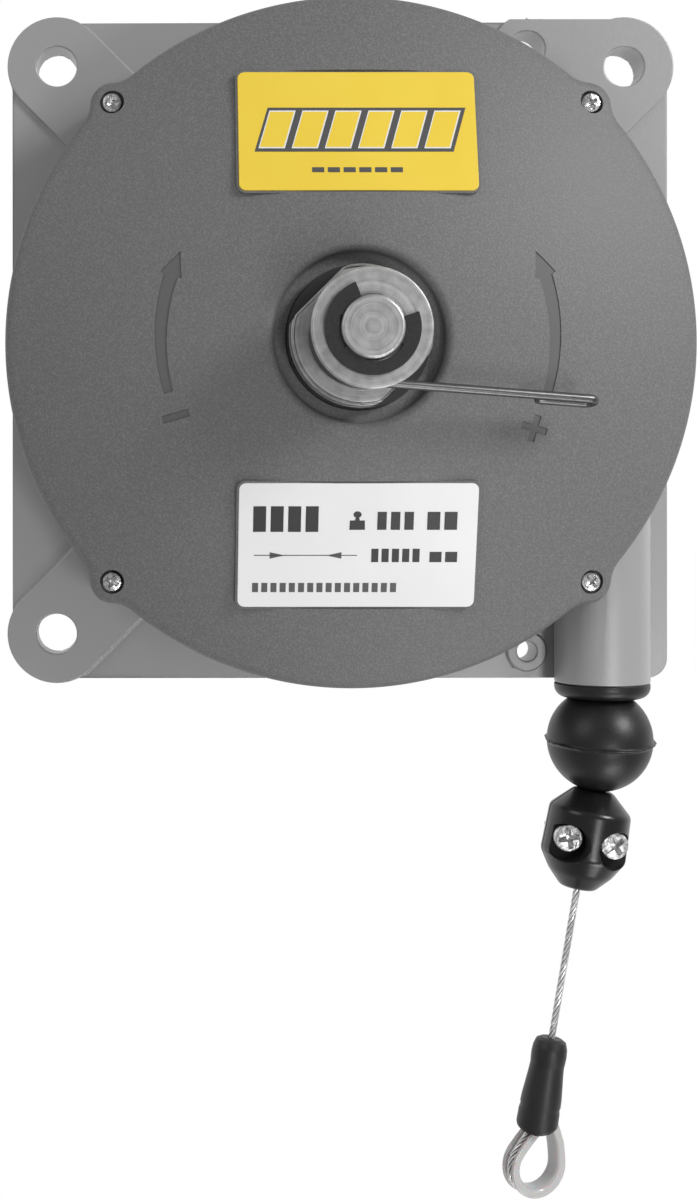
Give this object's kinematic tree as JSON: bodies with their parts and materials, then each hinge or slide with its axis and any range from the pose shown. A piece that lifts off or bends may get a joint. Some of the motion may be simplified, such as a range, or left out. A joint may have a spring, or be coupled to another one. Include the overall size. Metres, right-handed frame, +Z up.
{
  "type": "tool balancer",
  "caption": "Wall-mounted spring balancer: square cast base, domed round cover, tension hub with wrap-spring lever, and a steel rope with buffer ball, clamp and thimble.",
  "frame": {"origin": "on the hub axis, on the flat back that bears on the wall", "axes": "+X right as seen from the front, +Y into the wall, +Z up; the rope hangs along -Z"},
  "size_m": [0.202, 0.087, 0.3563],
  "materials": {
    "cast_body": "satin grey paint",
    "cover_paint": "fine textured dark grey paint",
    "zinc_steel": "zinc plated",
    "label_yellow": "gloss print on aluminium",
    "label_white": "gloss print on aluminium",
    "bush_plastic": "acetal",
    "turned_steel": "turned",
    "black_steel": "phosphated",
    "black_plastic": "moulded",
    "spring_wire": "drawn wire and strip",
    "drum_plastic": "moulded",
    "rope_steel": "stranded",
    "black_rubber": "moulded",
    "ferrule_alloy": "pressed",
    "nylon": "translucent white"
  },
  "bodies": {
    "housing": {"base_housing": "cast_body", "front_cover": "cover_paint", "cover_screws": "zinc_steel", "upper_label_plate": "label_yellow", "lower_label_plate": "label_white", "cover_bush": "bush_plastic", "main_axle": "turned_steel", "drum_shim": "turned_steel", "clutch_collar": "turned_steel", "collar_pin": "turned_steel", "front_washer": "zinc_steel", "e_clip": "black_steel", "outlet_bush": "black_plastic"},
    "arbor": {"tension_arbor": "turned_steel"},
    "lever": {"wrap_spring_lever": "spring_wire"},
    "drum": {"cable_drum": "drum_plastic", "drum_bush_rear": "bush_plastic", "drum_bush_front": "bush_plastic", "spring_cover": "drum_plastic", "spring_cover_screws": "zinc_steel", "mainspring": "spring_wire", "spring_anchor_pin": "turned_steel", "rope_winding": "rope_steel"},
    "rope_run": {"rope_run": "rope_steel"},
    "rope_tail": {"buffer_ball": "black_rubber", "clamp_front_half": "black_plastic", "clamp_back_half": "black_plastic", "clamp_screws": "zinc_steel", "clamp_nuts": "zinc_steel", "rope_in_clamp": "rope_steel", "rope_free": "rope_steel", "crimp_ferrule": "ferrule_alloy", "end_sleeve": "black_rubber", "thimble": "nylon", "rope_eye": "rope_steel"}
  },
  "joints": [
    {"name": "tension_adjust", "type": "hinge", "parent": "housing", "child": "arbor", "pos_m": [0, 0, 0], "axis": [0, -1, 0], "range_deg": [-1440, 1440]},
    {"name": "lever_release", "type": "hinge", "parent": "housing", "child": "lever", "pos_m": [0, 0, 0], "axis": [0, 1, 0], "range_deg": [0, 15], "stiffness_Nm_per_rad": 0.3, "springref_deg": -5.73},
    {"name": "drum_spin", "type": "hinge", "parent": "housing", "child": "drum", "pos_m": [0, 0, 0], "axis": [0, 1, 0], "range_deg": [0, 1848.2], "stiffness_Nm_per_rad": 0.03, "springref_deg": -2904.9},
    {"name": "rope_travel", "type": "slide", "parent": "housing", "child": "rope_run", "axis": [0, 0, -1], "range_m": [0, 2.5]},
    {"name": "rope_swing", "type": "hinge", "parent": "rope_run", "child": "rope_tail", "pos_m": [0.0775, -0.0195, -0.1173], "axis": [0, 1, 0], "range_deg": [-24.6, 5.4]}
  ],
  "couplings": [
    {"joint": "rope_travel", "follows": "drum_spin", "m_per_rad": 0.0775}
  ]
}
